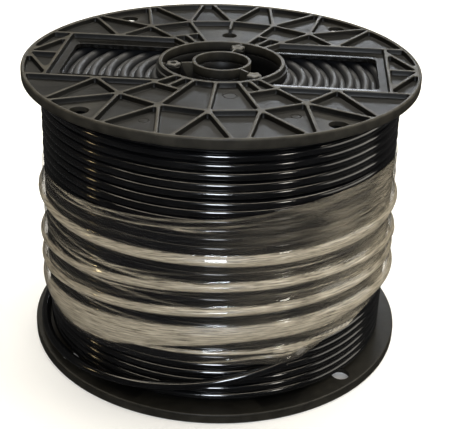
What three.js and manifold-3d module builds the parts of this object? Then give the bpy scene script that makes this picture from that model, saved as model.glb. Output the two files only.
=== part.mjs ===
// A full plastic wire reel standing on one flange, axis upright, in millimetres, +Z up.
// The origin is the centre of the bottom flange's rim, on the surface that the reel stands on.
// +X runs along the two long chord ribs of the top flange.
//
// Both flanges are the same moulding. The bottom one is turned over about a level axis at
// 135 degrees, which brings its three webs under the top ones and turns its windows a quarter turn.
import * as THREE from 'three';
import { mergeVertices } from 'three/addons/utils/BufferGeometryUtils.js';
import Module from 'manifold-3d';

// ---- driving dimensions ----
const flangeRadius = 120;
const traverse = 168; // clear height between the two flanges
const rimHeight = 6.4; // full thickness of a flange at its rim
const rimWall = 2.4;
const floorThickness = 2.9;
const ribHeight = 6.0; // rib tops, measured from the flange's inner face
const ribWidth = 2.0;

const boreRadius = 15.9;
const boreWall = 2.0;
const barrelRadius = 38.3;
const barrelWall = 2.3;

const nodeRadius = 81; // circle of rib junctions
const chordOffset = 39; // the two long ribs, at +y and -y
const chordNodeX = 69.5; // rib junction on each chord
const endRibX = 100.2; // short rib across each end of the windows
const crossRibRadius = 55;
const windowSideLedge = 10; // floor left between a window and the chord ribs
const windowEndLedge = 5;
const windowCorner = 5;

const webAngles = [75, 195, 315];
const webWidth = 1.6;
const webReach = 12; // how far the webs reach into the barrel
const bossCentre = 29.5;
const bossRadius = 4.6;
const boltRadius = 2.4;
const headHeight = 2.2;

const rimHole = { x: 70, y: 84, radius: 5.4 };
const driveHole = { y: 59, radius: 4.8 };

const layerCount = 15;
const windingRadius = 109.8;
const windingInset = 1.5; // from the winding's first and last turn to the flange
const wireRadius = 2.75;
const looseStart = 172; // degrees round the reel, where the wire's end lies on the flange
const looseEnd = 296; // and where it slips under the film
const looseSpread = 2.5; // how far the loose turn stands away from the winding, at most
const looseClimb = 25;

const filmBottom = 39;
const filmTop = 128;
const filmTilt = 6; // the band sits this much higher on its high side, and lower opposite
const filmHighSide = 335;
const filmThickness = 1.4;
const filmRidges = 5;
const ridgeHeight = 3.6;

const gap = 0.3;
const rimSegments = 64;
const tubeSegments = 32;
const holeSegments = 16;

// ---- worked out from them ----
const height = traverse + 2 * rimHeight;
const topFace = rimHeight + traverse; // inner face of the top flange
const windingBottom = rimHeight + windingInset;
const windingTop = topFace - windingInset;
const firstLayerRadius = barrelRadius + 0.4;
const layerPitch = (windingRadius - firstLayerRadius) / layerCount;
const rad = THREE.MathUtils.degToRad;

const wasm = await Module();
wasm.setup();

// ---- solids ----
function toSolid(geometry) {
  const bare = geometry.index ? geometry.toNonIndexed() : geometry.clone();
  bare.deleteAttribute('normal');
  bare.deleteAttribute('uv');
  const merged = mergeVertices(bare, 1e-3);
  const mesh = new wasm.Mesh({
    numProp: 3,
    vertProperties: new Float32Array(merged.attributes.position.array),
    triVerts: new Uint32Array(merged.index.array),
  });
  return new wasm.Manifold(mesh);
}

function toGeometry(solid) {
  const mesh = solid.getMesh();
  const geometry = new THREE.BufferGeometry();
  geometry.setAttribute('position', new THREE.BufferAttribute(mesh.vertProperties, 3));
  geometry.setIndex(new THREE.BufferAttribute(mesh.triVerts, 1));
  return geometry;
}

// A tube or ring about the z axis, from bottom to top. An inner radius of 0 gives a disc.
function ringGeometry(inner, outer, bottom, top, segments = tubeSegments) {
  const profile = [
    new THREE.Vector2(inner, bottom),
    new THREE.Vector2(outer, bottom),
    new THREE.Vector2(outer, top),
    new THREE.Vector2(inner, top),
  ];
  if (inner > 0) profile.push(profile[0].clone());
  const geometry = new THREE.LatheGeometry(profile, segments);
  geometry.rotateX(Math.PI / 2);
  return geometry;
}

const ring = (...sizes) => toSolid(ringGeometry(...sizes));

// A round peg with its own centre, used for bosses and holes.
function peg(x, y, radius, bottom, top) {
  const geometry = new THREE.CylinderGeometry(radius, radius, top - bottom, holeSegments);
  geometry.rotateX(Math.PI / 2);
  geometry.translate(x, y, (bottom + top) / 2);
  return toSolid(geometry);
}

// A straight wall from one plan point to another.
function wall(from, to, width, bottom, top) {
  const span = new THREE.Vector2().subVectors(to, from);
  const geometry = new THREE.BoxGeometry(span.length(), width, top - bottom);
  geometry.rotateZ(span.angle());
  geometry.translate((from.x + to.x) / 2, (from.y + to.y) / 2, (bottom + top) / 2);
  return toSolid(geometry);
}

const polar = (radius, degrees) =>
  new THREE.Vector2(radius * Math.cos(rad(degrees)), radius * Math.sin(rad(degrees)));

// ---- flange ----
// The rib layout of the quarter between +X and +Y, as pairs of plan points.
function quarterRibs() {
  const rimLine = flangeRadius - rimWall / 2;
  const hubLine = barrelRadius - barrelWall / 2;
  const chordNode = new THREE.Vector2(chordNodeX, chordOffset);
  const nodes = [chordNode, polar(nodeRadius, 50), polar(nodeRadius, 70), polar(nodeRadius, 90)];
  const chordStart = new THREE.Vector2(chordOffset / Math.tan(rad(50)), chordOffset);
  const chordEnd = new THREE.Vector2(Math.sqrt(rimLine ** 2 - chordOffset ** 2), chordOffset);
  const endRibFoot = new THREE.Vector2(endRibX, 0);
  const fanPoint = new THREE.Vector2(rimLine, 0);
  const zigzag = [[0, 39.8], [1, 41.5], [1, 60.1], [2, 62.7], [2, 78.5], [3, 82.3]];
  return [
    [chordStart, chordEnd],
    [endRibFoot, new THREE.Vector2(endRibX, chordOffset)],
    [endRibFoot, fanPoint],
    [new THREE.Vector2(endRibX, chordOffset - 6), fanPoint],
    [polar(hubLine, 60), polar(crossRibRadius, 60)],
    [polar(crossRibRadius, 50), polar(crossRibRadius, 70)],
    ...[50, 70].map((angle) => [polar(hubLine, angle), polar(nodeRadius, angle)]),
    ...[0, 1, 2].map((i) => [nodes[i], nodes[i + 1]]),
    ...zigzag.map(([node, angle]) => [nodes[node], polar(rimLine, angle)]),
  ];
}

// The window's outline on the +X side: straight sides, round outer corners, and the barrel's
// own curve on the inside.
function windowCutter() {
  const halfWidth = chordOffset - ribWidth / 2 - windowSideLedge;
  const end = endRibX - ribWidth / 2 - windowEndLedge;
  const start = Math.asin(halfWidth / barrelRadius);
  const outline = new THREE.Shape();
  outline.moveTo(barrelRadius * Math.cos(start), -halfWidth);
  outline.lineTo(end - windowCorner, -halfWidth);
  outline.absarc(end - windowCorner, -halfWidth + windowCorner, windowCorner, -Math.PI / 2, 0);
  outline.absarc(end - windowCorner, halfWidth - windowCorner, windowCorner, 0, Math.PI / 2);
  outline.lineTo(barrelRadius * Math.cos(start), halfWidth);
  outline.absarc(0, 0, barrelRadius, start, -start, true);
  const geometry = new THREE.ExtrudeGeometry(outline, {
    depth: 2 * rimHeight,
    bevelEnabled: false,
    curveSegments: 6,
  });
  geometry.translate(0, 0, -rimHeight / 2);
  return toSolid(geometry);
}

// One flange with its inner face at z = 0 and its ribs facing +Z.
function flange() {
  const parts = [
    ring(barrelRadius - barrelWall, flangeRadius, 0, floorThickness, rimSegments),
    ring(flangeRadius - rimWall, flangeRadius, 0, rimHeight, rimSegments),
    ring(barrelRadius - barrelWall, barrelRadius, 0, ribHeight, rimSegments),
    ring(boreRadius, boreRadius + boreWall, 0, ribHeight),
  ];
  const rib = (from, to) => wall(from, to, ribWidth, floorThickness - 1, ribHeight);
  for (const [from, to] of quarterRibs()) {
    for (const quarter of [[1, 1], [-1, 1], [1, -1], [-1, -1]]) {
      const flip = new THREE.Vector2(...quarter);
      parts.push(rib(from.clone().multiply(flip), to.clone().multiply(flip)));
    }
  }
  parts.push(rib(polar(barrelRadius - 1, 270), polar(nodeRadius, 270)));
  parts.push(rib(polar(driveHole.y + driveHole.radius, 90), polar(nodeRadius, 90)));
  const webTop = ribHeight - gap;
  const bossTop = ribHeight - headHeight - 2 * gap;
  const web = (inner, outer, angle, bottom) =>
    wall(polar(inner, angle), polar(outer, angle), webWidth, bottom, webTop);
  for (const angle of webAngles) {
    const boss = polar(bossCentre, angle);
    parts.push(web(boreRadius + boreWall + gap, barrelRadius - barrelWall - gap, angle, -webReach));
    parts.push(web(boreRadius + 1, barrelRadius - 1, angle, 0.5));
    parts.push(peg(boss.x, boss.y, bossRadius, -webReach, bossTop));
  }
  let body = parts.reduce((whole, part) => whole.add(part));

  const cuts = [windowCutter(), windowCutter().rotate([0, 0, 180])];
  for (const angle of webAngles) {
    const boss = polar(bossCentre, angle);
    cuts.push(peg(boss.x, boss.y, boltRadius + gap, -webReach - 1, rimHeight));
    cuts.push(peg(boss.x, boss.y, bossRadius + gap, bossTop, rimHeight));
  }
  for (const sx of [1, -1]) {
    for (const sy of [1, -1]) {
      cuts.push(peg(sx * rimHole.x, sy * rimHole.y, rimHole.radius, -1, rimHeight));
    }
  }
  cuts.push(peg(0, driveHole.y, driveHole.radius, -1, rimHeight + 1));
  body = cuts.reduce((whole, cut) => whole.subtract(cut), body);
  return toGeometry(body);
}

// ---- fasteners ----
// A five-lobed outline, the shape of the bolt heads and of the nuts.
function lobedOutline() {
  const points = [];
  const steps = 20;
  for (let i = 0; i < steps; i += 1) {
    const angle = (i / steps) * 2 * Math.PI;
    const radius = bossRadius - 0.6 + 0.6 * Math.cos(5 * angle);
    points.push(new THREE.Vector2(radius * Math.cos(angle), radius * Math.sin(angle)));
  }
  return new THREE.Shape(points);
}

function lobedHead(bottom, top) {
  const options = { depth: top - bottom, bevelEnabled: false };
  const geometry = new THREE.ExtrudeGeometry(lobedOutline(), options);
  geometry.translate(0, 0, bottom);
  return toSolid(geometry);
}

const headBottom = topFace + ribHeight - headHeight - gap;
const headTop = headBottom + headHeight;

function tieBolt() {
  const shank = peg(0, 0, boltRadius, height - headTop, headTop - 1);
  return toGeometry(shank.add(lobedHead(headBottom, headTop)));
}

function tieNut() {
  const thread = peg(0, 0, boltRadius + gap, -1, rimHeight);
  return toGeometry(lobedHead(height - headTop, height - headBottom).subtract(thread));
}

// ---- wire ----
// The wire's outer end, which has sprung off the winding and lies on the bottom flange.
function looseTurn() {
  const points = [];
  const steps = 14;
  for (let i = 0; i <= steps; i += 1) {
    const along = i / steps;
    const angle = rad(looseStart + (looseEnd - looseStart) * along);
    const radius = windingRadius + wireRadius + gap + looseSpread * Math.sin(Math.PI * along) ** 2;
    const lift = rimHeight + wireRadius + 2 * gap + looseClimb * along ** 2.6;
    points.push(new THREE.Vector3(radius * Math.cos(angle), radius * Math.sin(angle), lift));
  }
  const path = new THREE.CatmullRomCurve3(points);
  const section = new THREE.Shape();
  for (let i = 0; i < 8; i += 1) {
    const angle = (i / 8) * 2 * Math.PI;
    const corner = [wireRadius * Math.cos(angle), wireRadius * Math.sin(angle)];
    if (i === 0) section.moveTo(...corner);
    else section.lineTo(...corner);
  }
  return new THREE.ExtrudeGeometry(section, { steps: 28, extrudePath: path, bevelEnabled: false });
}

// ---- film ----
// Stretch film round the middle of the winding, slightly tilted and drawn in between its ridges.
function filmBand() {
  const inside = windingRadius + gap;
  const valley = inside + filmThickness;
  const profile = [new THREE.Vector2(inside, filmBottom), new THREE.Vector2(valley, filmBottom)];
  const pitch = (filmTop - filmBottom) / filmRidges;
  for (let i = 0; i < filmRidges; i += 1) {
    const bottom = filmBottom + i * pitch;
    profile.push(new THREE.Vector2(valley + ridgeHeight, bottom + pitch / 2));
    profile.push(new THREE.Vector2(valley, bottom + pitch));
  }
  profile.push(new THREE.Vector2(inside, filmTop), profile[0].clone());
  const geometry = new THREE.LatheGeometry(profile, tubeSegments);
  geometry.rotateX(Math.PI / 2);
  const position = geometry.attributes.position;
  for (let i = 0; i < position.count; i += 1) {
    const angle = Math.atan2(position.getY(i), position.getX(i));
    position.setZ(i, position.getZ(i) + filmTilt * Math.cos(angle - rad(filmHighSide)));
  }
  return geometry;
}

// ---- materials ----
const finish = (color, roughness, metalness = 0) =>
  new THREE.MeshStandardMaterial({ color, roughness, metalness });

// ---- assembly ----
const reel = new THREE.Group();

function place(name, geometry, material, parent = reel) {
  const mesh = new THREE.Mesh(geometry, material);
  mesh.name = name;
  parent.add(mesh);
  return mesh;
}

const flangePlastic = [0x2b2a27, 0.5];
place('top_flange', flange(), finish(...flangePlastic)).position.z = topFace;

const turnedOver = new THREE.Group();
turnedOver.position.z = rimHeight;
turnedOver.quaternion.setFromAxisAngle(new THREE.Vector3(...polar(1, 135), 0), Math.PI);
reel.add(turnedOver);
place('bottom_flange', flange(), finish(...flangePlastic), turnedOver);

function tubeBetweenFlanges(name, inner, wallThickness) {
  const geometry = ringGeometry(inner, inner + wallThickness, rimHeight + gap, topFace - gap);
  place(name, geometry, finish(0x242321, 0.55));
}
tubeBetweenFlanges('barrel_tube', barrelRadius - barrelWall, barrelWall);
tubeBetweenFlanges('arbor_tube', boreRadius, boreWall);

webAngles.forEach((angle, i) => {
  const boss = polar(bossCentre, angle);
  for (const [name, geometry] of [['tie_bolt', tieBolt()], ['tie_nut', tieNut()]]) {
    const mesh = place(`${name}_${i + 1}`, geometry, finish(0x4a4945, 0.45, 0.6));
    mesh.position.set(boss.x, boss.y, 0);
    mesh.rotation.z = rad(angle);
  }
});

for (let layer = 0; layer < layerCount; layer += 1) {
  const inner = firstLayerRadius + layer * layerPitch;
  const geometry = ringGeometry(inner, inner + layerPitch - gap, windingBottom, windingTop);
  const number = String(layer + 1).padStart(2, '0');
  place(`wire_layer_${number}`, geometry, finish(0x0d0d0f, 0.25));
}
place('wire_outer_end', looseTurn(), finish(0x0d0d0f, 0.25));
place('stretch_film', filmBand(), finish(0x8f887c, 0.3));

export default reel;
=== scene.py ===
"""Looks of a full plastic wire reel: ribbed flanges, glossy black wire and crinkled stretch film.

The reel's sizes are in millimetres in the frame of the part: origin at the centre of the bottom rim,
+Z up. The camera and the lights are placed in metres.
"""

import math

import bmesh
import bpy
import numpy as np
from mathutils import Matrix, Vector
from mathutils.geometry import delaunay_2d_cdt


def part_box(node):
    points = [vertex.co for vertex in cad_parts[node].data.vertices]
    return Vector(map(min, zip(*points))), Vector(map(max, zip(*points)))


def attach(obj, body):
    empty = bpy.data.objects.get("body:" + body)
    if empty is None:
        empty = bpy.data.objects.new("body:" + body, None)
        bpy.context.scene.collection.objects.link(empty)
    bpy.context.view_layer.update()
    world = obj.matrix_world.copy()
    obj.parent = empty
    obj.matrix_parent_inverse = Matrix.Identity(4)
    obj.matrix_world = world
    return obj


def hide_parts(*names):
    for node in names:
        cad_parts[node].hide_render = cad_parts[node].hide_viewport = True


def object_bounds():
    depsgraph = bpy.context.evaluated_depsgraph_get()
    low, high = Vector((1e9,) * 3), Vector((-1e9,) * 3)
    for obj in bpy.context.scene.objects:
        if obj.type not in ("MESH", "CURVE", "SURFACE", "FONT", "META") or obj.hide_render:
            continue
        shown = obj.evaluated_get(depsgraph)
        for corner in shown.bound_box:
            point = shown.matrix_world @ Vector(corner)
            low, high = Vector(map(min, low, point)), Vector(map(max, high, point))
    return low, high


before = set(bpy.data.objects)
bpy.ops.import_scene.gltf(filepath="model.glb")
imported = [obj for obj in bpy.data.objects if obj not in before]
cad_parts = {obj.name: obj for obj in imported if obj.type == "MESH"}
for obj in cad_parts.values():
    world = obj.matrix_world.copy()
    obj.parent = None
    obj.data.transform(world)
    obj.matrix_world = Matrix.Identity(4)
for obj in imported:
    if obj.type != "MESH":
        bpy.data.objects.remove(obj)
cad_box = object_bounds()
rng = np.random.default_rng(7)

MM = 0.001

# ---- sizes taken from the frame ----
flange_low, flange_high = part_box("bottom_flange")
RIM = (flange_high.x - flange_low.x) / 2 / MM
BARREL_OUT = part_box("barrel_tube")[1].x / MM
ARBOR_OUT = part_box("arbor_tube")[1].x / MM
LAYERS = 15
outer_low, outer_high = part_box(f"wire_layer_{LAYERS:02d}")
WINDING_LOW, WINDING_HIGH, WINDING_OUT = outer_low.z / MM, outer_high.z / MM, outer_high.x / MM

# ---- flanges and tubes ----
RIM_HEIGHT = 6.4  # full thickness of a flange at its rim
TOP_FACE = cad_box[1].z / MM - RIM_HEIGHT  # inner face of the top flange
BARREL_IN = BARREL_OUT - 2.3
ARBOR_IN = ARBOR_OUT - 2.0
TUBE_GAP = 0.3  # between a tube's end and the flange
FLOOR = 2.9
RIB_TOP = 6.0
RIB_HALF = 1.0
RIM_WALL = 2.4
NODE_RADIUS = 81  # circle of rib junctions
CHORD = 39  # the two long ribs, at +y and -y
CHORD_NODE_X = 69.5  # rib junction on each chord
END_RIB_X = 100.2  # short rib across each end of the windows
CROSS_RIB = 55  # how far out the short ribs nearest to the hub lie
POCKET_CORNER = 1.5
WINDOW_HALF, WINDOW_NEAR, WINDOW_FAR, WINDOW_CORNER = 28, 39.9, 94.2, 5
LAND_END = 93  # where the smoother strips along a window's long sides stop
RIM_HOLE = (70, 84, 5.4)  # x, y and radius
DRIVE_HOLE = (0, 59, 4.8)
EJECTOR_MARKS = {(9.2, -50.4): 4.0, (46.8, -75.2): 2.9, (-33.5, -93): 2.8}  # radius at each place
RIM_SEGMENTS, HUB_SEGMENTS = 224, 128
FAR = 1e9  # further than any wall

# ---- webs, bosses and fasteners ----
WEB_ANGLES = (75, 195, 315)
WEB_REACH = 12  # how far the webs reach into the barrel
BOSS_CENTRE = 29.5
BOSS_RADIUS = 4.6
BOSS_SUNK = 2.0  # from the rib tops down to a boss
HEAD_THICKNESS = 1.4
HEAD_SEGMENTS = 60
LOBES = 5
NUT_BORE = 2.45

# ---- wire ----
WIRE_RADIUS = 2.75
TURNS = 30
PITCH = (WINDING_HIGH - WINDING_LOW - 2 * WIRE_RADIUS) / (TURNS - 1)  # from turn to turn
EDGE_STEPS, HIDDEN_STEPS = 96, 44  # steps in a turn that shows, and in one that doesn't
LOOSE_START, LOOSE_END = 172, 296  # degrees round the reel: the bare end, and the film's edge
LOOSE_GAP = 0.6  # between the loose end and what it lies on
LOOSE_SPREAD = 2.5  # how far it stands away from the winding, at most
LOOSE_CLIMB = 25  # from the flange to the film
UV_UNIT = 100  # millimetres to one unit of a UV map

# ---- film ----
# middle of each rope, how far it swings up and towards which side, half width, height and haze
FILM_ROPES = [
    (102, 2, 275, 3.1, 2.6, 1.0),
    (75, 12.8, 295, 2.5, 2.9, 1.0),
    (61.5, 12, 308, 2.6, 3.1, 1.0),
    (48, 10, 315, 4.7, 3.4, 1.0),
    (42.5, 1, 330, 1.2, 1.5, 0.9),
]
WIDE_ROPE = 3  # it sags and spreads at the front left
CREASES = 70

# ---- camera ----
SENSOR_WIDTH, LENS = 36, 83.97
CAMERA_PLACE = (0.04755, -0.6045, 0.39091)
CAMERA_TURN, CAMERA_TILT, CAMERA_ROLL = 4.045, 62.513, 1.737


def polar(radius, degrees):
    """The point at a distance from the reel's axis, on a bearing."""
    angle = math.radians(degrees)
    return Vector((radius * math.cos(angle), radius * math.sin(angle)))


def make_camera():
    """The photo's camera, solved from the outlines of the two flange rims."""
    data = bpy.data.cameras.new("camera")
    data.sensor_width = SENSOR_WIDTH
    data.lens = LENS
    data.clip_start, data.clip_end = 0.01, 20
    camera = bpy.data.objects.new("camera", data)
    turn = Matrix.Rotation(math.radians(CAMERA_TURN), 4, "Z")
    tilt = Matrix.Rotation(math.radians(CAMERA_TILT), 4, "X")
    roll = Matrix.Rotation(math.radians(CAMERA_ROLL), 4, "Z")
    camera.matrix_world = Matrix.Translation(CAMERA_PLACE) @ turn @ tilt @ roll
    bpy.context.scene.collection.objects.link(camera)
    bpy.context.scene.camera = camera


make_camera()


# ---- mesh helpers ----
def new_object(name, points, faces, material, sharp=35, weighted=False, closed=True):
    """An object from points in millimetres, smooth except where faces meet at more than sharp degrees."""
    mesh = bpy.data.meshes.new(name)
    mesh.from_pydata((np.asarray(points, float) * MM).tolist(), [], faces)
    if closed:
        whole = bmesh.new()
        whole.from_mesh(mesh)
        bmesh.ops.recalc_face_normals(whole, faces=whole.faces)
        whole.to_mesh(mesh)
        whole.free()
    mesh.update()
    mesh.shade_smooth()
    if sharp is not None:
        mesh.set_sharp_from_angle(angle=math.radians(sharp))
    mesh.materials.append(material)
    obj = bpy.data.objects.new(name, mesh)
    bpy.context.scene.collection.objects.link(obj)
    if weighted:
        modifier = obj.modifiers.new("weighted", "WEIGHTED_NORMAL")
        modifier.keep_sharp = True
    return obj


def finish_piece(obj, node):
    """Puts a piece on the reel's one body, in place of a CAD node."""
    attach(obj, "root")
    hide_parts(node)


def set_attribute(obj, name, values):
    layer = obj.data.attributes.new(name, "FLOAT", "POINT")
    layer.data.foreach_set("value", np.asarray(values, np.float32))


def set_uv(obj, name, u, v):
    """A UV map of the object's quads, from the values at their four corners. Any end caps stay at 0."""
    corners = np.stack(np.broadcast_arrays(u, v), axis=-1).reshape(-1, 2)
    coords = np.zeros((len(obj.data.loops), 2))
    coords[: len(corners)] = corners
    layer = obj.data.uv_layers.new(name=name)
    layer.data.foreach_set("uv", coords.ravel())


class Shell:
    """Points and faces of one closed skin, joined loop by loop."""

    def __init__(self):
        self.points = []
        self.faces = []
        self.wear_and_sheen = []

    def loop(self, plan, height, wear_and_sheen=0.0):
        start = len(self.points)
        self.points += [(p[0], p[1], height) for p in plan]
        self.wear_and_sheen += [wear_and_sheen(p) if callable(wear_and_sheen) else wear_and_sheen for p in plan]
        return list(range(start, len(self.points)))

    def bridge(self, lower, upper):
        """Faces between two loops of equal count. They face outwards if the loops run counter-clockwise."""
        count = len(lower)
        for i in range(count):
            j = (i + 1) % count
            self.faces.append((lower[i], lower[j], upper[j], upper[i]))

    def stack(self, loops):
        for lower, upper in zip(loops, loops[1:]):
            self.bridge(lower, upper)

    def cap(self, outer, holes, up=True):
        """A flat face inside the outer loop and outside the holes, as triangles."""
        loops = [outer, *holes]
        ids = [i for loop in loops for i in loop]
        plan = [Vector(self.points[i][:2]) for i in ids]
        edges, start = [], 0
        for loop in loops:
            count = len(loop)
            edges += [(start + i, start + (i + 1) % count) for i in range(count)]
            start += count
        points, _, triangles, origins, _, _ = delaunay_2d_cdt(plan, edges, [], 0, 1e-5)
        if not triangles:
            return
        flat = np.array([tuple(p) for p in points])
        centres = flat[np.array(triangles)].mean(axis=1)
        keep = inside(centres, np.array([self.points[i][:2] for i in outer]))
        for hole in holes:
            keep &= ~inside(centres, np.array([self.points[i][:2] for i in hole]))
        for kept, triangle in zip(keep, triangles):
            if not kept:
                continue
            corners = [flat[i] for i in triangle]
            area = np.cross(corners[1] - corners[0], corners[2] - corners[0])
            face = [ids[origins[i][0]] for i in triangle]
            if len(set(face)) == 3:
                self.faces.append(tuple(face if (area > 0) == up else face[::-1]))

    def merge(self, other):
        start = len(self.points)
        self.points += other.points
        self.wear_and_sheen += other.wear_and_sheen
        self.faces += [tuple(i + start for i in face) for face in other.faces]


def inside(points, outline):
    """For each point, whether it lies inside the closed outline."""
    result = np.zeros(len(points), bool)
    for (x1, y1), (x2, y2) in zip(outline, np.roll(outline, -1, axis=0)):
        crosses = (y1 > points[:, 1]) != (y2 > points[:, 1])
        rise = y2 - y1 if abs(y2 - y1) > 1e-12 else 1e-12
        result ^= crosses & (points[:, 0] < (x2 - x1) * (points[:, 1] - y1) / rise + x1)
    return result


def circle(radius, count, x=0.0, y=0.0):
    turns = np.arange(count) / count * 2 * math.pi
    return np.column_stack([x + radius * np.cos(turns), y + radius * np.sin(turns)])


def revolve(profile, count, centre=(0.0, 0.0), wear_and_sheen=None):
    """A ring from (radius, height) points, which run counter-clockwise seen along the loop."""
    shell = Shell()
    worn_and_lit = wear_and_sheen or [0.0] * len(profile)
    loops = [shell.loop(circle(r, count, *centre), z, w) for (r, z), w in zip(profile, worn_and_lit)]
    shell.stack([*loops, loops[0]])
    return shell


# ---- flange: pockets between the ribs ----
def line_wall(start, end, seed):
    """A rib as an endless wall: its normal, pointing away from the seed, and its near face."""
    along = (Vector(end) - Vector(start)).normalized()
    normal = Vector((along.y, -along.x))
    if normal.dot(Vector(seed) - Vector(start)) > 0:
        normal = -normal
    return ("line", normal, normal.dot(Vector(start)) - RIB_HALF)


def hit(wall, seed, way, margin):
    """How far from the seed the wall lies, set in by the margin."""
    kind, data, limit = wall
    if kind == "line":
        facing = data.dot(way)
        return (limit - margin - data.dot(seed)) / facing if facing > 1e-9 else FAR
    radius = limit - margin if kind == "rim" else limit + margin
    middle = seed.dot(way)
    inner = middle * middle - seed.length_squared + radius * radius
    if inner < 0:
        return FAR
    if kind == "rim":
        return -middle + math.sqrt(inner)
    distance = -middle - math.sqrt(inner)
    return distance if distance > 0 else FAR


def pocket_outline(walls, seed):
    """The pocket's outline, set in by its corner radius, as points with their outward normals."""
    seed = Vector(seed)

    def nearest(angle):
        way = Vector((math.cos(angle), math.sin(angle)))
        reach = [hit(wall, seed, way, POCKET_CORNER) for wall in walls]
        index = min(range(len(walls)), key=reach.__getitem__)
        return index, seed + way * reach[index]

    def normal(index, point):
        kind, data, _ = walls[index]
        if kind == "line":
            return data
        return point.normalized() if kind == "rim" else -point.normalized()

    steps, round_every, halvings, corner_steps = 540, 4, 30, 4
    angles = [2 * math.pi * i / steps for i in range(steps + 1)]
    hits = [nearest(angle)[0] for angle in angles]
    outline, since = [], 0
    for i in range(steps):
        if hits[i] == hits[i + 1]:
            # a straight wall needs no points of its own, and a round one has a few
            since += 1
            if walls[hits[i]][0] != "line" and since % round_every == 0:
                point = nearest(angles[i])[1]
                outline.append((point, normal(hits[i], point)))
            continue
        low, high = angles[i], angles[i + 1]
        for _ in range(halvings):
            middle = (low + high) / 2
            if nearest(middle)[0] == hits[i]:
                low = middle
            else:
                high = middle
        point = nearest(low)[1]
        first, last = normal(hits[i], point), normal(hits[i + 1], point)
        for k in range(corner_steps + 1):
            outline.append((point, first.slerp(last, k / corner_steps)))
        since = 0
    return outline


def grown(outline, distance):
    return [point + way * distance for point, way in outline]


def mirrored(outline, sx, sy):
    flipped = [(Vector((p.x * sx, p.y * sy)), Vector((n.x * sx, n.y * sy))) for p, n in outline]
    return flipped if sx * sy > 0 else flipped[::-1]


def rib_lines():
    """The middle line of each kind of rib, in and beside the quarter where x and y are positive."""
    end = RIM - RIM_WALL / 2
    n30, n90 = (CHORD_NODE_X, CHORD), (0, NODE_RADIUS)
    n50, n70, n110 = (polar(NODE_RADIUS, degrees) for degrees in (50, 70, 110))
    return {
        "end": ((END_RIB_X, 0), (END_RIB_X, CHORD)),
        "chord": ((0, CHORD), (CHORD_NODE_X, CHORD)),
        "far_chord": ((0, -CHORD), (CHORD_NODE_X, -CHORD)),
        "fan_middle": ((END_RIB_X, 0), (end, 0)),
        "fan_slant": ((END_RIB_X, CHORD - 6), (end, 0)),
        "ray_50": ((0, 0), n50),
        "ray_-50": ((0, 0), polar(NODE_RADIUS, -50)),
        "ray_60": ((0, 0), polar(NODE_RADIUS, 60)),
        "ray_70": ((0, 0), n70),
        "ray_90": ((0, 0), n90),
        "ray_110": ((0, 0), n110),
        "side_1": (n30, n50),
        "side_2": (n50, n70),
        "side_3": (n70, n90),
        "side_4": (n90, n110),
        "cross": (polar(CROSS_RIB, 50), polar(CROSS_RIB, 70)),
        "zig_1": (n30, polar(end, 39.8)),
        "zig_2": (n50, polar(end, 41.5)),
        "zig_3": (n50, polar(end, 60.1)),
        "zig_4": (n70, polar(end, 62.7)),
        "zig_5": (n70, polar(end, 78.5)),
        "zig_6": (n90, polar(end, 82.3)),
        "zig_7": (n90, polar(end, 97.7)),
    }


def pocket_kinds():
    """Walls, seed and copies of each kind of pocket. Copies are the signs of x and y to mirror by."""
    lines = rib_lines()
    round_walls = {"rim": ("rim", None, RIM - RIM_WALL), "hub": ("hub", None, BARREL_OUT)}
    four = ((1, 1), (-1, 1), (1, -1), (-1, -1))
    right_left = ((1, 1), (-1, 1))
    front_two = ((1, -1), (-1, -1))
    back_front = ((1, 1), (1, -1))
    kinds = [
        ("window", (65, 0), ("end", "chord", "far_chord", "ray_50", "ray_-50"), ("hub",), right_left),
        ("plain", (105, 8), ("fan_middle", "fan_slant", "end"), (), four),
        ("plain", (109, 28), ("fan_slant", "end", "chord"), ("rim",), four),
        ("plain", (100, 52), ("chord", "zig_1"), ("rim",), four),
        ("plain", (70.5, 59.5), ("side_1", "zig_1", "zig_2"), ("rim",), four),
        ("rim_hole", (70, 84), ("zig_2", "zig_3"), ("rim",), four),
        ("plain", (45.6, 80.8), ("side_2", "zig_3", "zig_4"), ("rim",), four),
        ("plain", (35.3, 99.4), ("zig_4", "zig_5"), ("rim",), four),
        ("plain", (15.8, 91.4), ("side_3", "zig_5", "zig_6"), ("rim",), four),
        ("plain", (0, 105), ("zig_6", "zig_7"), ("rim",), back_front),
        ("plain", (51.4, 46.7), ("chord", "ray_50", "side_1"), (), four),
        ("plain", (33.5, 58), ("cross", "ray_50", "ray_70", "side_2"), (), four),
        ("plain", (10.4, 59.1), ("ray_70", "ray_90", "side_3"), ("hub",), front_two),
        ("drive_hole", (0, 60), ("ray_70", "ray_110", "side_3", "side_4"), ("hub",), ((1, 1),)),
        ("plain", (26.96, 38.5), ("ray_50", "ray_60", "cross"), ("hub",), four),
        ("plain", (19.86, 42.6), ("ray_60", "ray_70", "cross"), ("hub",), four),
    ]
    for kind, seed, names, rounds, copies in kinds:
        walls = [line_wall(*lines[name], seed) for name in names]
        walls += [round_walls[name] for name in rounds]
        yield kind, walls, seed, copies


def window_outline(grow, side):
    """A window's outline, grown by a distance, counter-clockwise. Side is 1 at +x and -1 at -x."""
    half, far = WINDOW_HALF + grow, WINDOW_FAR + grow
    near, corner = WINDOW_NEAR - grow, WINDOW_CORNER + grow
    corner_steps, near_steps = 8, 28
    points = []
    for cx, cy, start in ((far - corner, corner - half, -90), (far - corner, half - corner, 0)):
        for k in range(corner_steps + 1):
            points.append(Vector((cx, cy)) + polar(corner, start + 90 * k / corner_steps))
    spread = math.degrees(math.asin(half / near))
    for k in range(near_steps + 1):
        points.append(polar(near, spread - 2 * spread * k / near_steps))
    return [Vector((p.x * side, p.y * side)) for p in points]


def long_side(point):
    """The wear of a window's land: -1, smoother, along its two long sides."""
    return -1.0 if abs(point[1]) > WINDOW_HALF - 1 and abs(point[0]) < LAND_END else 0.0


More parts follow.
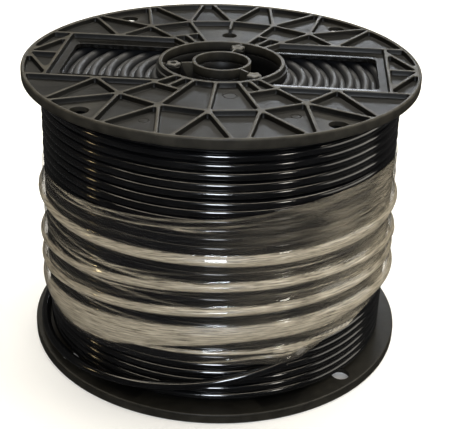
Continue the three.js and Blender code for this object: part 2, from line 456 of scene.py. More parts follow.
def through_hole(shell, outline_at, worn_and_lit=0.4):
    """The wall of a hole through the floor, from an outline that can grow. Returns its two rims."""
    steps = [(0.3, FLOOR), (0.09, FLOOR - 0.09), (0, FLOOR - 0.3)]
    steps += [(0, 0.3), (0.09, 0.09), (0.3, 0)]
    loops = [shell.loop(outline_at(grow), z, worn_and_lit) for grow, z in steps]
    shell.stack(loops)
    return loops[0], loops[-1]


def pocket_holes(shell, kind, sx, sy):
    """Cuts the hole that a kind of pocket has in its floor, if any. Returns each hole's two rims."""
    if kind == "window":
        return [through_hole(shell, lambda grow: window_outline(grow, sx), long_side)]
    if kind == "plain":
        return []
    x, y, r = RIM_HOLE if kind == "rim_hole" else DRIVE_HOLE
    return [through_hole(shell, lambda grow: circle(r + grow, 32, x * sx, y * sy))]


def ejector_marks(shell, area):
    """Shallow round marks that the mould leaves in the floor, inside an area. Returns their rims."""
    rims = []
    for (x, y), radius in EJECTOR_MARKS.items():
        if not inside(np.array([[x, y]]), area)[0]:
            continue
        rings = [(radius + 0.35, 0), (radius + 0.12, -0.28), (radius - 0.12, -0.28), (radius - 0.4, 0)]
        mark = [shell.loop(circle(r, 28, x, y), FLOOR + dz) for r, dz in rings]
        shell.stack(mark)
        shell.cap(mark[-1], [])
        rims.append(mark[0])
    return rims


def add_pockets(shell):
    """The pockets between the ribs. Returns their upper rims, and the rims of the holes underneath."""
    bevel, draft, fillet = 0.45, 0.25, 0.75
    steep = math.sin(math.radians(45))
    wall_profile = [
        # the third values paint the rib tops paler: partly rubbing, partly a painted sheen of the light
        # from above
        (POCKET_CORNER + bevel, RIB_TOP, 1.0),
        (POCKET_CORNER + bevel * (1 - steep), RIB_TOP - bevel * (1 - steep), 0.6),
        (POCKET_CORNER, RIB_TOP - bevel, 0.1),
        (POCKET_CORNER - 0.05, RIB_TOP - 1.1, 0.0),
        (POCKET_CORNER - draft, FLOOR + fillet, 0.0),
        (POCKET_CORNER - draft - fillet * (1 - steep), FLOOR + fillet * (1 - steep), 0.0),
    ]
    foot = POCKET_CORNER - draft - fillet
    tops, under_holes = [], []
    for kind, walls, seed, copies in pocket_kinds():
        outline = pocket_outline(walls, seed)
        land = long_side if kind == "window" else 0.0
        for sx, sy in copies:
            copy = mirrored(outline, sx, sy)
            loops = [shell.loop(grown(copy, distance), z, worn_and_lit) for distance, z, worn_and_lit in wall_profile]
            loops.append(shell.loop(grown(copy, foot), FLOOR, land))
            shell.stack(loops)
            tops.append(loops[0])
            holes = pocket_holes(shell, kind, sx, sy)
            under_holes += [under for _, under in holes]
            marks = ejector_marks(shell, np.array(grown(copy, 0)))
            shell.cap(loops[-1], [upper for upper, _ in holes] + marks)
    return tops, under_holes


def rim_loops(shell):
    """The rim's skin, from the rib tops over its rounded edge and down its side to the back face."""
    profile = [
        # the third values paint the rounded edge and the side paler: partly rubbing, partly a painted sheen
        # of the light from the right
        (RIM - 1.6, RIB_TOP, 1.0),
        (RIM - 1.42, RIM_HEIGHT - 0.12, 1.0),
        (RIM - 1.05, RIM_HEIGHT, 1.0),
        (RIM - 0.6, RIM_HEIGHT - 0.05, 1.0),
        (RIM - 0.2, RIM_HEIGHT - 0.32, 1.0),
        (RIM - 0.03, RIM_HEIGHT - 0.85, 0.8),
        (RIM, RIM_HEIGHT - 1.5, 0.45),
        (RIM, 1.3, 0.35),
        (RIM - 0.12, 0.55, 0.3),
        (RIM - 0.5, 0.12, 0.6),
        (RIM - 1.1, 0, 0.3),
    ]
    loops = [shell.loop(circle(r, RIM_SEGMENTS), z, worn_and_lit) for r, z, worn_and_lit in profile]
    shell.stack(loops[::-1])
    return loops


def hub_loops(shell):
    """The hub ring's inner skin, from the rib tops down to the back face."""
    profile = [
        (BARREL_IN + 0.45, RIB_TOP, 1.0),
        (BARREL_IN + 0.13, RIB_TOP - 0.13, 1.0),
        (BARREL_IN, RIB_TOP - 0.45, 0.7),
        (BARREL_IN, 0.4, 0.0),
        (BARREL_IN + 0.12, 0.12, 0.0),
        (BARREL_IN + 0.35, 0.0, 0.0),
    ]
    loops = [shell.loop(circle(r, HUB_SEGMENTS), z, worn_and_lit) for r, z, worn_and_lit in profile]
    shell.stack(loops)
    return loops


def flange_shell():
    """One flange in its own frame: inner face at z = 0, ribs facing +Z.

    Each point's value is 1 on the tops of the ribs, which are painted paler, partly for rubbing and partly
    as a painted sheen of the light from above, and -1 on the smoother lands beside the windows.
    """
    shell = Shell()
    tops, under_holes = add_pockets(shell)
    rim = rim_loops(shell)
    hub = hub_loops(shell)
    shell.cap(rim[0], [hub[0], *tops])
    shell.cap(rim[-1], [hub[-1], *under_holes], up=False)
    shell.merge(bore_ring())
    for angle in WEB_ANGLES:
        shell.merge(web(angle))
        shell.merge(boss(angle))
    shell.merge(stub_rib())
    return shell


def bore_ring():
    inner, outer, bevel = ARBOR_IN, ARBOR_OUT, 0.4
    profile = [
        (inner + bevel, 0), (outer - bevel, 0), (outer, bevel), (outer, RIB_TOP - bevel),
        (outer - 0.12, RIB_TOP - 0.12), (outer - bevel, RIB_TOP), (inner + bevel, RIB_TOP),
        (inner + 0.12, RIB_TOP - 0.12), (inner, RIB_TOP - bevel), (inner, bevel),
    ]
    return revolve(profile, 96, wear_and_sheen=[0, 0, 0, 0.7, 1, 1, 1, 1, 0.7, 0])


def web(angle):
    """An upright web from the bore ring to the hub ring, notched round the bolt's head."""
    notch = BOSS_RADIUS + 0.3
    top, ledge = RIB_TOP - 0.3, RIB_TOP - 3.1
    first, last = ARBOR_OUT - 0.9, BARREL_IN + 0.9
    side = [
        (first, -WEB_REACH), (last, -WEB_REACH), (last, top),
        (BOSS_CENTRE + notch, top), (BOSS_CENTRE + notch, ledge),
        (BOSS_CENTRE - notch, ledge), (BOSS_CENTRE - notch, top), (first, top),
    ]
    shell = Shell()
    along, across = polar(1, angle), polar(1, angle + 90)
    thin, edge, drop = 0.8, 0.2, 0.25
    loops = []
    for offset, inset in ((-thin, drop), (-thin + edge, 0), (thin - edge, 0), (thin, drop)):
        start = len(shell.points)
        for r, z in side:
            place = along * r + across * offset
            upper = z > ledge + 1
            shell.points.append((place.x, place.y, z - (inset if upper else 0)))
            shell.wear_and_sheen.append(1.0 if upper else 0.0)
        loops.append(list(range(start, len(shell.points))))
    shell.stack(loops[::-1])
    shell.faces.append(tuple(loops[0]))
    shell.faces.append(tuple(loops[-1][::-1]))
    return shell


def boss(angle):
    """The tube on a web that a tie bolt runs through. Its top is sunk below the ribs."""
    top, bore = RIB_TOP - BOSS_SUNK, 2.7
    profile = [
        (bore, -WEB_REACH), (BOSS_RADIUS - 0.4, -WEB_REACH), (BOSS_RADIUS, 0.4 - WEB_REACH),
        (BOSS_RADIUS, top - 0.3), (BOSS_RADIUS - 0.3, top), (bore, top),
    ]
    return revolve(profile, 28, polar(BOSS_CENTRE, angle))


def stub_rib():
    """The short rib between the drive hole and the rib junction beyond it."""
    shell = Shell()
    low, high = DRIVE_HOLE[1] + DRIVE_HOLE[2] + 0.2, NODE_RADIUS - 0.9
    steps = ((0.35, FLOOR - 0.5, 0), (0, FLOOR + 0.6, 0), (0, RIB_TOP - 0.4, 0.7), (-0.4, RIB_TOP, 1))
    loops = []
    for grow, z, worn_and_lit in steps:
        half = RIB_HALF + grow
        plan = [(-half, low - grow), (half, low - grow), (half, high), (-half, high)]
        loops.append(shell.loop(plan, z, worn_and_lit))
    shell.stack(loops)
    shell.faces.append(tuple(loops[-1]))
    shell.faces.append(tuple(loops[0][::-1]))
    return shell


# ---- material helpers ----
class Nodes:
    """Short names for building a node material."""

    def __init__(self, name):
        self.material = bpy.data.materials.new(name)
        self.material.use_nodes = True
        self.tree = self.material.node_tree
        self.tree.nodes.clear()
        self.output = self.add("ShaderNodeOutputMaterial")

    def add(self, kind, **values):
        node = self.tree.nodes.new(kind)
        for key, value in values.items():
            setattr(node, key, value)
        return node

    def link(self, source, target):
        self.tree.links.new(source, target)

    def put(self, socket, value):
        if hasattr(value, "links"):
            self.link(value, socket)
        else:
            socket.default_value = value

    def maths(self, operation, *values, clamp=False):
        node = self.add("ShaderNodeMath", operation=operation, use_clamp=clamp)
        for socket, value in zip(node.inputs, values):
            self.put(socket, value)
        return node.outputs[0]

    def noise(self, place, scale, detail, roughness=0.55):
        node = self.add("ShaderNodeTexNoise")
        self.put(node.inputs["Vector"], place)
        node.inputs["Scale"].default_value = scale
        node.inputs["Detail"].default_value = detail
        node.inputs["Roughness"].default_value = roughness
        return node.outputs["Fac"]

    def stretched(self, source, scale):
        node = self.add("ShaderNodeMapping")
        self.put(node.inputs["Vector"], source)
        node.inputs["Scale"].default_value = scale
        return node.outputs[0]

    def ramp(self, value, low, high, start=0.0, end=1.0):
        node = self.add("ShaderNodeMapRange")
        node.clamp = True
        self.put(node.inputs["Value"], value)
        for socket, number in zip(("From Min", "From Max", "To Min", "To Max"), (low, high, start, end)):
            node.inputs[socket].default_value = number
        return node.outputs[0]

    def mix(self, share, first, second):
        node = self.add("ShaderNodeMix", data_type="RGBA")
        self.put(node.inputs[0], share)
        self.put(node.inputs[6], first if hasattr(first, "links") else (*first, 1))
        self.put(node.inputs[7], second if hasattr(second, "links") else (*second, 1))
        return node.outputs[2]

    def attribute(self, name):
        return self.add("ShaderNodeAttribute", attribute_name=name).outputs["Fac"]

    def object_place(self):
        return self.add("ShaderNodeTexCoord").outputs["Object"]

    def bump(self, height, strength, distance, normal=None):
        node = self.add("ShaderNodeBump")
        node.inputs["Strength"].default_value = strength
        node.inputs["Distance"].default_value = distance
        self.put(node.inputs["Height"], height)
        if normal is not None:
            self.link(normal, node.inputs["Normal"])
        return node.outputs[0]

    def shader(self, color, roughness, normal=None, **constants):
        node = self.add("ShaderNodeBsdfPrincipled")
        self.put(node.inputs["Base Color"], color if hasattr(color, "links") else (*color, 1))
        self.put(node.inputs["Roughness"], roughness)
        if normal is not None:
            self.link(normal, node.inputs["Normal"])
        for key, value in constants.items():
            node.inputs[key.replace("_", " ")].default_value = value
        return node.outputs[0]

    def done(self, surface):
        self.link(surface, self.output.inputs["Surface"])
        return self.material


def plastic_material(name, dark, light, rough_low, rough_high, gloss, worn_and_lit=True):
    """Moulded plastic with a fine grain, flow marks, dust and, if asked, paler edges, which are partly
    rubbed and partly a painted sheen.
    """
    n = Nodes(name)
    place = n.object_place()
    cloud = n.noise(place, 38, 4)
    grain = n.noise(place, 1900, 2)
    scratch = n.noise(n.stretched(place, (60, 900, 400)), 1, 3, 0.6)
    scratch_2 = n.noise(n.stretched(place, (800, 70, 400)), 1, 3, 0.6)
    scratches = n.ramp(n.maths("MAXIMUM", scratch, scratch_2), 0.66, 0.78)
    color = n.mix(n.ramp(cloud, 0.35, 0.7), dark, light)
    if worn_and_lit:
        edge = n.attribute("wear_and_sheen")
        patch = n.ramp(n.noise(place, 130, 4, 0.65), 0.3, 0.62)
        edge_share = n.maths("MULTIPLY", edge, n.maths("MULTIPLY_ADD", patch, 0.5, 0.3))
        # paler rib tops and rim: partly rubbing, partly a painted sheen of the light from above and from
        # the right
        color = n.mix(edge_share, color, (0.055, 0.05, 0.039))
    dust = n.ramp(n.noise(place, 420, 3, 0.7), 0.62, 0.75)
    color = n.mix(n.maths("MULTIPLY", dust, 0.05), color, (0.2, 0.18, 0.15))
    color = n.mix(n.maths("MULTIPLY", scratches, 0.08), color, (0.12, 0.11, 0.09))
    rough = n.ramp(cloud, 0.3, 0.7, rough_low, rough_high)
    if worn_and_lit:
        rough = n.maths("MULTIPLY", rough, n.ramp(edge, -1.0, 0.0, 0.42, 1.0))
    rough = n.maths("ADD", rough, n.maths("MULTIPLY", dust, 0.12), clamp=True)
    normal = n.bump(grain, 0.25, 0.00012)
    normal = n.bump(n.noise(place, 95, 2), 0.18, 0.0008, normal)
    return n.done(n.shader(color, rough, normal, Specular_IOR_Level=gloss))


def wire_material(name, dark, light, rough_low, rough_high, coat):
    """Smooth extruded jacket: nearly black, with fine lengthwise drag marks and dull patches."""
    n = Nodes(name)
    uv = n.add("ShaderNodeUVMap", uv_map="along").outputs[0]
    place = n.object_place()
    drag = n.noise(n.stretched(uv, (14, 9, 1)), 1, 4, 0.6)
    fine = n.noise(n.stretched(uv, (90, 26, 1)), 1, 3, 0.6)
    patch = n.noise(place, 46, 3)
    scuff = n.maths("MULTIPLY", n.ramp(fine, 0.6, 0.74), n.ramp(patch, 0.42, 0.62))
    color = n.mix(n.ramp(patch, 0.35, 0.65), dark, light)
    color = n.mix(n.maths("MULTIPLY", scuff, 0.16), color, (0.11, 0.112, 0.118))
    smooth_part = n.ramp(drag, 0.3, 0.7, rough_low, rough_high)
    rough = n.maths("ADD", smooth_part, n.maths("MULTIPLY", scuff, 0.2), clamp=True)
    normal = n.bump(n.maths("ADD", drag, n.maths("MULTIPLY", fine, 0.3)), 0.1, 0.00025)
    gloss = {"Specular_IOR_Level": 0.55, "Coat_Weight": coat, "Coat_Roughness": 0.05}
    return n.done(n.shader(color, rough, normal, **gloss))


def steel_material():
    n = Nodes("fastener_steel")
    place = n.object_place()
    cloud = n.noise(place, 300, 4)
    spots = n.ramp(n.noise(place, 1500, 3, 0.7), 0.55, 0.7)
    color = n.mix(n.ramp(cloud, 0.3, 0.7), (0.05, 0.048, 0.043), (0.105, 0.101, 0.092))
    color = n.mix(n.maths("MULTIPLY", spots, 0.35), color, (0.03, 0.027, 0.022))
    rough = n.ramp(cloud, 0.3, 0.7, 0.46, 0.64)
    normal = n.bump(n.noise(place, 2400, 2), 0.3, 0.0001)
    return n.done(n.shader(color, rough, normal, Metallic=0.4))


def film_material():
    """Stretch film: clear and glossy where it lies flat, milky and streaked along its gathered ropes."""
    n = Nodes("stretch_film")
    uv = n.add("ShaderNodeUVMap", uv_map="around").outputs[0]
    haze = n.attribute("haze")
    strands = n.noise(n.stretched(uv, (7, 150, 1)), 1, 4, 0.62)
    fine = n.noise(n.stretched(uv, (18, 560, 1)), 1, 3, 0.6)
    crinkle = n.noise(n.stretched(uv, (9, 55, 1)), 1, 3, 0.55)
    streak = n.maths("ADD", n.maths("MULTIPLY", strands, 0.8), n.maths("MULTIPLY", fine, 0.2))
    body = n.ramp(streak, 0.36, 0.56, 0.4, 1.0)
    broad = n.noise(n.stretched(uv, (2.2, 16, 1)), 1, 3, 0.6)
    # the milky share of the flat film: partly milky film, partly a painted sheen at the sides, where the
    # film is seen at a grazing angle
    milk_and_side_sheen = n.maths("MULTIPLY", n.attribute("milk_and_side_sheen"), n.ramp(broad, 0.34, 0.68, 0.12, 0.62))
    milky = n.maths("MAXIMUM", n.maths("MULTIPLY", haze, body), milk_and_side_sheen)
    solid = n.maths("MULTIPLY_ADD", milky, 0.56, 0.42, clamp=True)
    cloudy = n.mix(n.ramp(streak, 0.38, 0.66), (0.18, 0.156, 0.115), (0.44, 0.39, 0.3))
    color = n.mix(n.ramp(milky, 0.0, 0.5), (0.012, 0.012, 0.013), cloudy)
    rough = n.ramp(haze, 0.1, 0.8, 0.06, 0.3)
    normal = n.bump(n.maths("MULTIPLY", strands, haze), 0.3, 0.0008)
    normal = n.bump(crinkle, 0.36, 0.0016, normal)
    surface = n.shader(color, rough, normal, IOR=1.6, Coat_Weight=1.0, Coat_Roughness=0.04)
    clear = n.add("ShaderNodeBsdfTransparent")
    clear.inputs[0].default_value = (0.97, 0.965, 0.955, 1)
    mixed = n.add("ShaderNodeMixShader")
    n.put(mixed.inputs[0], solid)
    n.link(clear.outputs[0], mixed.inputs[1])
    n.link(surface, mixed.inputs[2])
    return n.done(mixed.outputs[0])


FLANGE_PLASTIC = plastic_material(
    "flange_plastic", (0.0017, 0.0016, 0.0014), (0.0038, 0.0036, 0.003), 0.36, 0.48, gloss=0.24)
BARREL_PLASTIC = plastic_material(
    "barrel_plastic", (0.0016, 0.0016, 0.0017), (0.0034, 0.0034, 0.0035), 0.4, 0.5, gloss=0.25, worn_and_lit=False)
STEEL = steel_material()
WIRE = wire_material(
    "wire_jacket", (0.0012, 0.0013, 0.0017), (0.0028, 0.0029, 0.0034), 0.1, 0.17, coat=0.35)
# the inner layers, seen through the windows: a rougher copy of the jacket, lighter in colour as a painted
# sheen of the broad overhead light
WIRE_INNER_PAINTED_SHEEN = wire_material(
    "wire_jacket_inner_painted_sheen", (0.01, 0.0105, 0.0125), (0.0135, 0.014, 0.0165), 0.4, 0.52, coat=0.0)
FILM = film_material()


# ---- flanges ----
def make_flanges():
    shell = flange_shell()
    local = np.array(shell.points)
    for name, node in (("top_flange_moulding", "top_flange"), ("bottom_flange_moulding", "bottom_flange")):
        points = local.copy()
        if node == "top_flange":
            points[:, 2] += TOP_FACE
        else:
            # a half turn about the level axis at 135 degrees
            points = np.column_stack([-local[:, 1], -local[:, 0], RIM_HEIGHT - local[:, 2]])
        obj = new_object(name, points, shell.faces, FLANGE_PLASTIC, 40, weighted=True)
        # the paler tops and rim in this attribute are partly rubbing and partly a painted sheen
        set_attribute(obj, "wear_and_sheen", shell.wear_and_sheen)
        finish_piece(obj, node)


def make_tubes():
    low, high = RIM_HEIGHT + TUBE_GAP, TOP_FACE - TUBE_GAP
    bevel, margin, rings = 0.35, 6, 9
    for name, node, inner, outer in (
        ("barrel_moulding", "barrel_tube", BARREL_IN, BARREL_OUT),
        ("arbor_moulding", "arbor_tube", ARBOR_IN, ARBOR_OUT),
    ):
        profile = [(inner + bevel, low), (outer - bevel, low), (outer, low + bevel)]
        profile += [(outer, z) for z in np.linspace(low + margin, high - margin, rings)]
        profile += [(outer, high - bevel), (outer - bevel, high)]
        profile += [(inner + bevel, high), (inner, high - bevel)]
        profile += [(inner, z) for z in np.linspace(high - margin, low + margin, rings)]
        profile.append((inner, low + bevel))
        shell = revolve(profile, HUB_SEGMENTS)
        obj = new_object(name, shell.points, shell.faces, BARREL_PLASTIC, 50)
        finish_piece(obj, node)


# ---- fasteners ----
def lobed(grow, turn):
    """The five-lobed outline of a head or nut, turned by an angle in degrees."""
    points = []
    for i in range(HEAD_SEGMENTS):
        angle = i / HEAD_SEGMENTS * 2 * math.pi
        radius = BOSS_RADIUS - 0.62 + 0.55 * math.cos(LOBES * angle) + grow
        points.append(polar(radius, math.degrees(angle) + turn))
    return points


def head_shell(low, high, turn, bore):
    """A lobed head with rounded edges. Its top is dished, or it is bored through for a nut."""
    shell = Shell()
    steps = [(-0.35, low), (-0.08, low + 0.08), (0, low + 0.3), (0, high - 0.55)]
    steps += [(-0.1, high - 0.2), (-0.32, high - 0.04), (-0.6, high)]
    loops = [shell.loop(lobed(grow, turn), z) for grow, z in steps]
    shell.stack(loops)
    if bore:
        upper, lower = [shell.loop(circle(bore, HEAD_SEGMENTS), z) for z in (high, low)]
        shell.stack([loops[-1], upper, lower, loops[0]])
        return shell
    dish = [(1.7, high), (1.5, high - 0.06), (1.3, high - 0.22), (1.1, high - 0.26)]
    rings = [shell.loop(circle(r, HEAD_SEGMENTS), z) for r, z in dish]
    shell.stack([loops[-1], *rings])
    shell.faces.append(tuple(rings[-1]))
    shell.faces.append(tuple(loops[0][::-1]))
    return shell


def shank_shell(low, high):
    """A shank with ring grooves for a screw thread at its lower end."""
    radius, pitch, depth, threaded = 2.4, 0.8, 0.35, 9.0
    pinpoint = 0.02  # the end faces' centre, which must not shrink to one point
    profile = [(pinpoint, low), (radius - 0.4, low), (radius - 0.1, low + 0.3)]
    z = low + 0.5
    while z < low + threaded:
        profile += [(radius, z), (radius - depth, z + pitch / 2)]
        z += pitch
    profile += [(radius, z + 0.3), (radius, high), (pinpoint, high)]
    shell = Shell()
    loops = [shell.loop(circle(r, 24), h) for r, h in profile]
    shell.stack(loops)
    shell.faces.append(tuple(loops[0][::-1]))
    shell.faces.append(tuple(loops[-1]))
    return shell


def make_fasteners():
    for i, angle in enumerate(WEB_ANGLES, 1):
        centre = polar(BOSS_CENTRE, angle)
        low, top = (corner.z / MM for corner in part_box(f"tie_bolt_{i}"))
        bolt = head_shell(top - HEAD_THICKNESS, top, angle + 11 * i, None)
        bolt.merge(shank_shell(low, top - HEAD_THICKNESS + 0.2))
        nut_low, nut_high = (corner.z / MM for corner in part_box(f"tie_nut_{i}"))
        nut = head_shell(nut_low, nut_high, -angle, NUT_BORE)
        for name, shell, node in (("bolt", bolt, "tie_bolt"), ("nut", nut, "tie_nut")):
            points = np.array(shell.points)
            points[:, :2] += centre
            obj = new_object(f"lobed_{name}_{i}", points, shell.faces, STEEL, 45)
            finish_piece(obj, f"{node}_{i}")


# ---- wire ----
def tube(name, path, sides, node, material):
    """A round wire along a path of points in millimetres, with a UV map that runs along it."""
    path = np.asarray(path, float)
    ahead = np.gradient(path, axis=0)
    ahead /= np.linalg.norm(ahead, axis=1)[:, None]
    across = np.cross(ahead, (0, 0, 1))
    across /= np.linalg.norm(across, axis=1)[:, None]
    above = np.cross(across, ahead)
    turns = np.arange(sides) / sides * 2 * math.pi
    rings = path[:, None] + WIRE_RADIUS * (
        np.cos(turns)[None, :, None] * across[:, None] + np.sin(turns)[None, :, None] * above[:, None]
    )
    count = len(path)
    ids = np.arange(count * sides).reshape(count, sides)
    near, far = ids[:-1], ids[1:]
    quads = np.stack([near, np.roll(near, -1, 1), np.roll(far, -1, 1), far], axis=-1).reshape(-1, 4)
    faces = quads.tolist()
    faces += [ids[0][::-1].tolist(), ids[-1].tolist()]
    obj = new_object(name, rings.reshape(-1, 3), faces, material, 60)
    steps = np.linalg.norm(np.diff(path, axis=0), axis=1)
    along = np.concatenate([[0], np.cumsum(steps)]) / UV_UNIT
    around = np.arange(sides) / sides
    u = np.stack([along[:-1], along[:-1], along[1:], along[1:]], axis=-1)
    v = np.stack([around, around + 1 / sides, around + 1 / sides, around], axis=-1)
    set_uv(obj, "along", u[:, None, :], v[None, :, :])
    finish_piece(obj, node)
    return obj


def smooth(share):
    """Eases a share from 0 to 1, with no slope at either end."""
    return share * share * (3 - 2 * share)


def smooth_random(count, period, size):
    """Seeded random values, smoothly joined, one every period steps."""
    knots = rng.normal(0, size, count // period + 3)
    at = np.arange(count) / period
    low = at.astype(int)
    share = smooth(at - low)
    return knots[low] * (1 - share) + knots[low + 1] * share


def wound_layer(radius, low, high, turns, middle_steps, wobble):
    """Level turns, each crossing over to the next near 45 degrees, where little of it shows.

    The first and last two turns, which show in the windows, have finer steps.
    """
    edge_step = 1 / EDGE_STEPS
    edge = np.arange(0, 2, edge_step)
    middle = np.arange(2, turns - 2, 1 / middle_steps)
    last = np.append(np.arange(turns - 2, turns, edge_step), turns)
    at = np.concatenate([edge, middle, last])
    crossing = 0.06
    nearest = np.round(at)
    share = np.clip((at - nearest + crossing) / (2 * crossing), 0, 1)
    level = np.clip(nearest - 1 + smooth(share), 0, turns - 1)
    angle = math.radians(45) + at * 2 * math.pi
    ease = np.minimum(1, np.minimum(at, turns - at) / 0.7)
    count = len(at)
    lift = smooth_random(count, 17, wobble) * ease
    push = smooth_random(count, 23, wobble * 0.6) * ease
    height = low + (high - low) * level / (turns - 1) + lift
    return np.column_stack([(radius + push) * np.cos(angle), (radius + push) * np.sin(angle), height])


def make_winding():
    """The layers, in alternation with 30 turns and, nested between those, 29."""
    low, high = WINDING_LOW + WIRE_RADIUS, WINDING_HIGH - WIRE_RADIUS
    for layer in range(1, LAYERS + 1):
        node = f"wire_layer_{layer:02d}"
        name = f"wire_turns_{layer:02d}"
        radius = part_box(node)[1].x / MM - WIRE_RADIUS
        nested = (LAYERS - layer) % 2
        first, last, turns = low + nested * PITCH / 2, high - nested * PITCH / 2, TURNS - nested
        if layer == LAYERS:
            tube(name, wound_layer(radius, first, last, turns, EDGE_STEPS, 0.2), 14, node, WIRE)
        else:
            tube(name, wound_layer(radius, first, last, turns, HIDDEN_STEPS, 0.08), 12, node, WIRE_INNER_PAINTED_SHEEN)


def make_loose_end():
    """The wire's end: it comes out from under the film and droops to the flange round the left side."""
    steps = 120
    near, rest = WINDING_OUT + WIRE_RADIUS + LOOSE_GAP, RIM_HEIGHT + WIRE_RADIUS + LOOSE_GAP
    path = []
    for k in range(steps + 1):
        along = 1 - k / steps
        radius = near + LOOSE_SPREAD * math.sin(math.pi * along) ** 2
        plan = polar(radius, LOOSE_START + (LOOSE_END - LOOSE_START) * along)
        path.append(Vector((*plan, rest + LOOSE_CLIMB * along**2.6)))
    piece = tube("wire_loose_end", path, 20, "wire_outer_end", WIRE)
    metres = [tuple(p * MM) for p in path]
    length = sum((Vector(b) - Vector(a)).length for a, b in zip(metres, metres[1:]))
    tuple(metres[0])


# ---- film ----
def hump(turn, centre, width):
    """1 at an angle in degrees, fading out smoothly over a width in degrees."""
    apart = (np.degrees(turn) - centre + 180) % 360 - 180
    return np.exp(-((apart / width) ** 2))


def toward(turn, side):
    """1 on one side of the reel, given in degrees, and -1 on the opposite side."""
    return np.cos(turn - math.radians(side))


def wave(turn, seed, strength, first, last):
    """Seeded ups and downs round the reel, made of the first to the last count of waves in a turn."""
    local = np.random.default_rng(seed)
    total = np.zeros_like(turn)
    for k in range(first, last + 1):
        total += local.normal(0, 1 / k) * np.cos(k * turn + local.uniform(0, 6.3))
    return strength * total


def film_edges(turn):
    """Heights of the band's lower and upper edges round the reel."""
    low_edge = 38 + 8 * toward(turn, 20) + 5 * hump(turn, 198, 18) + 1.5 * hump(turn, 262, 15)
    low_edge += 3.5 * hump(turn, 337, 25) - 2.5 * hump(turn, 292, 22) + wave(turn, 3, 0.4, 4, 9)
    high_edge = 125.5 + 6 * toward(turn, 335) + 6.5 * hump(turn, 322, 38) + wave(turn, 4, 0.6, 3, 9)
    return low_edge, high_edge


def film_ropes(turn, height):
    """Relief and haze of the ropes that the film is gathered into."""
    relief = np.zeros_like(height)
    haze = np.zeros_like(height)
    for index, (middle, swing, side, half, tall, milk) in enumerate(FILM_ROPES):
        line = middle + swing * toward(turn, side) + wave(turn, 20 + index, 0.8, 2, 5)
        wide = half * (1 + wave(turn, 40 + index, 0.12, 2, 12))
        if index == WIDE_ROPE:
            line -= 4 * hump(turn, 228, 28)
            wide += 4.3 * hump(turn, 236, 30)
        strength = np.clip(1 + wave(turn, 60 + index, 0.14, 1, 6), 0.5, 1.4)
        apart = np.abs(height - line[:, None]) / wide[:, None]
        relief = np.maximum(relief, tall * np.exp(-0.9 * apart**2) * strength[:, None])
        cloudy = np.clip((1.25 - apart) / 0.4, 0, 1)
        haze = np.maximum(haze, milk * cloudy * cloudy * (3 - 2 * cloudy))
    return relief, haze


def add_creases(angle, height, relief, haze):
    """Adds fine creases, each with its own seed: where it lies, how long, thin and slanting it is."""
    for seed in range(CREASES):
        local = np.random.default_rng(100 + seed)
        where, start = local.uniform(0, 2 * math.pi), local.uniform(38, 122)
        long, thin = local.uniform(0.12, 0.7), local.uniform(0.5, 0.95)
        slope = local.normal(0, 5.0)
        apart = (angle - where + math.pi) % (2 * math.pi) - math.pi
        crease = np.exp(-((apart / long) ** 2) - ((height - start - slope * apart) / thin) ** 2)
        relief += 0.5 * crease
        haze = np.maximum(haze, 0.7 * crease)
    return relief, haze


def add_hem(turn, high_edge, height, relief, haze):
    """Adds two thin rolled lines just below the upper edge, stronger where the edge is gathered."""
    gathered = np.clip(0.5 + wave(turn, 11, 0.45, 2, 9), 0.12, 1)[:, None]
    for drop in (1.1, 5.2):
        hem = np.exp(-(((high_edge[:, None] - height - drop) / 0.6) ** 2)) * gathered
        haze = np.maximum(haze, 0.85 * hem)
        relief += 0.3 * hem
    return relief, haze


def film_milk_and_side_sheen(turn):
    """How milky the flat film is: most on the right, and a little at the left. This is partly milky film
    and partly a painted sheen where the film is seen at a grazing angle.
    """
    milk_and_side_sheen = np.clip(toward(turn, 350), 0, 1) ** 1.8 + 0.15 * np.clip(toward(turn, 175), 0, 1) ** 2
    return np.clip(milk_and_side_sheen * (1 + wave(turn, 9, 0.25, 2, 8)), 0, 1)


def film_radius(turn, height, relief, haze):
    """The film follows its relief, the turns under it where it is clear, and the wire's loose end."""
    lying = WINDING_OUT + 0.8
    over_wire = 0.25 * np.cos(2 * math.pi * (height - WINDING_LOW - WIRE_RADIUS) / PITCH)
    over_end = hump(turn, LOOSE_END + 1, 8)[:, None] * np.clip((45 - height) / 6, 0, 1)
    radius = lying + np.clip(relief, 0, 4.4) + over_wire * (1 - haze)
    return np.maximum(radius, lying + 5.7 * over_end)


def make_film():
    """A thin band of film, gathered into ropes that rise towards the front right, clear between them."""
    around, across = 720, 139
    turn = np.linspace(0, 2 * math.pi, around, endpoint=False)
    angle, share = np.meshgrid(turn, np.linspace(0, 1, across), indexing="ij")
    low_edge, high_edge = film_edges(turn)
    height = low_edge[:, None] * (1 - share) + high_edge[:, None] * share
    relief, haze = film_ropes(turn, height)
    relief, haze = add_creases(angle, height, relief, haze)
    relief, haze = add_hem(turn, high_edge, height, relief, haze)
    radius = film_radius(turn, height, relief, haze)

    points = np.stack([radius * np.cos(angle), radius * np.sin(angle), height], axis=-1).reshape(-1, 3)
    ids = np.arange(around * across).reshape(around, across)
    near, far = ids[:, :-1], np.roll(ids, -1, axis=0)
    quads = np.stack([near, far[:, :-1], far[:, 1:], ids[:, 1:]], axis=-1).reshape(-1, 4)
    obj = new_object("film_band", points, quads.tolist(), FILM, None, closed=False)
    set_attribute(obj, "haze", haze.ravel())
    # this attribute holds the milky film and the painted sheen at the sides
    set_attribute(obj, "milk_and_side_sheen", np.repeat(film_milk_and_side_sheen(turn), across))

    # the map's second axis follows the ropes' swing, so that streaks run along them
    level = (height - 12 * toward(angle, 298)) / UV_UNIT
    level_far = np.roll(level, -1, axis=0)
    along = np.arange(around + 1) / around * 6.9
    u = np.stack([along[:-1], along[1:], along[1:], along[:-1]], axis=-1)
    v = np.stack([level[:, :-1], level_far[:, :-1], level_far[:, 1:], level[:, 1:]], axis=-1)
    set_uv(obj, "around", u[:, None, :], v)
    finish_piece(obj, "stretch_film")


make_flanges()
make_tubes()
make_fasteners()
make_winding()
make_loose_end()
make_film()


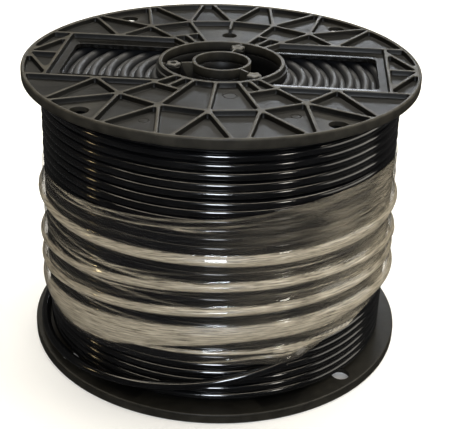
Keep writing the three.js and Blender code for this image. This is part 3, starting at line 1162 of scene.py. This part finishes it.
# ---- studio ----
def make_stage():
    """A pale floor. It glows faintly with distance, so that it stays pale beyond the lights' reach."""
    shell = Shell()
    rings = [shell.loop(circle(r, 96), 0) for r in (0.5, 400, 1200, 4000, 9000)]
    shell.stack(rings)
    n = Nodes("studio_floor")
    tone = n.ramp(n.noise(n.object_place(), 3, 2), 0.3, 0.7)
    away = n.add("ShaderNodeVectorMath", operation="LENGTH")
    n.put(away.inputs[0], n.object_place())
    glow = n.ramp(away.outputs["Value"], 0.16, 1.5, 0.14, 0.85)
    surface = n.add("ShaderNodeBsdfPrincipled")
    n.put(surface.inputs["Base Color"], n.mix(tone, (0.86, 0.86, 0.86), (0.9, 0.9, 0.9)))
    surface.inputs["Roughness"].default_value = 0.85
    surface.inputs["Emission Color"].default_value = (1, 0.99, 0.97, 1)
    n.put(surface.inputs["Emission Strength"], glow)
    floor_material = n.done(surface.outputs[0])
    below = (0, 0, 0.2)  # so that the floor and the reel's rim don't share a face
    floor = new_object("studio_floor", np.array(shell.points) - below, shell.faces, floor_material)
    floor.visible_glossy = False


def area_light(name, place, target, size, power, color):
    data = bpy.data.lights.new(name, "AREA")
    data.shape = "RECTANGLE"
    data.size, data.size_y = size
    data.energy = power
    data.color = color
    light = bpy.data.objects.new(name, data)
    light.location = place
    light.rotation_euler = (Vector(target) - Vector(place)).to_track_quat("-Z", "Y").to_euler()
    bpy.context.scene.collection.objects.link(light)


def make_world():
    """White behind the reel, but only a dim warm fill on it."""
    world = bpy.data.worlds.new("studio")
    bpy.context.scene.world = world
    world.use_nodes = True
    tree = world.node_tree
    tree.nodes.clear()
    path = tree.nodes.new("ShaderNodeLightPath")
    seen = tree.nodes.new("ShaderNodeBackground")
    seen.inputs[0].default_value = (1, 1, 1, 1)
    seen.inputs[1].default_value = 1.0
    lit = tree.nodes.new("ShaderNodeBackground")
    lit.inputs[0].default_value = (1.0, 0.97, 0.92, 1)
    lit.inputs[1].default_value = 0.04
    mixed = tree.nodes.new("ShaderNodeMixShader")
    output = tree.nodes.new("ShaderNodeOutputWorld")
    tree.links.new(path.outputs["Is Camera Ray"], mixed.inputs[0])
    tree.links.new(lit.outputs[0], mixed.inputs[1])
    tree.links.new(seen.outputs[0], mixed.inputs[2])
    tree.links.new(mixed.outputs[0], output.inputs[0])


make_stage()
make_world()
CENTRE = (0, 0, 0.09)
area_light("overhead", (0.1, 0.4, 1.2), CENTRE, (1.7, 1.1), 27, (1.0, 0.95, 0.84))
area_light("back", (0.1, 1.2, 0.57), (0, 0, 0.18), (0.42, 0.1), 1.6, (0.88, 0.93, 1.0))
area_light("front", (0.08, -1.25, 0.62), CENTRE, (0.26, 0.34), 9, (0.86, 0.92, 1.0))
area_light("front_right", (0.9, -0.92, 0.55), CENTRE, (0.14, 0.2), 1.8, (1.0, 0.95, 0.85))
area_light("left", (-1.25, -0.3, 0.5), CENTRE, (0.1, 0.08), 0.6, (1.0, 0.78, 0.4))
area_light("right", (1.3, 0.0, 0.5), CENTRE, (1.0, 0.6), 4.0, (1.0, 0.95, 0.84))
for side in (180, 225, 270, 315, 0):
    strip = polar(0.95, side)
    area_light(f"ceiling_{side}", (*strip, 1.3), CENTRE, (0.8, 0.14), 2.0, (1.0, 0.9, 0.72))
bpy.context.scene.view_settings.view_transform = "Standard"
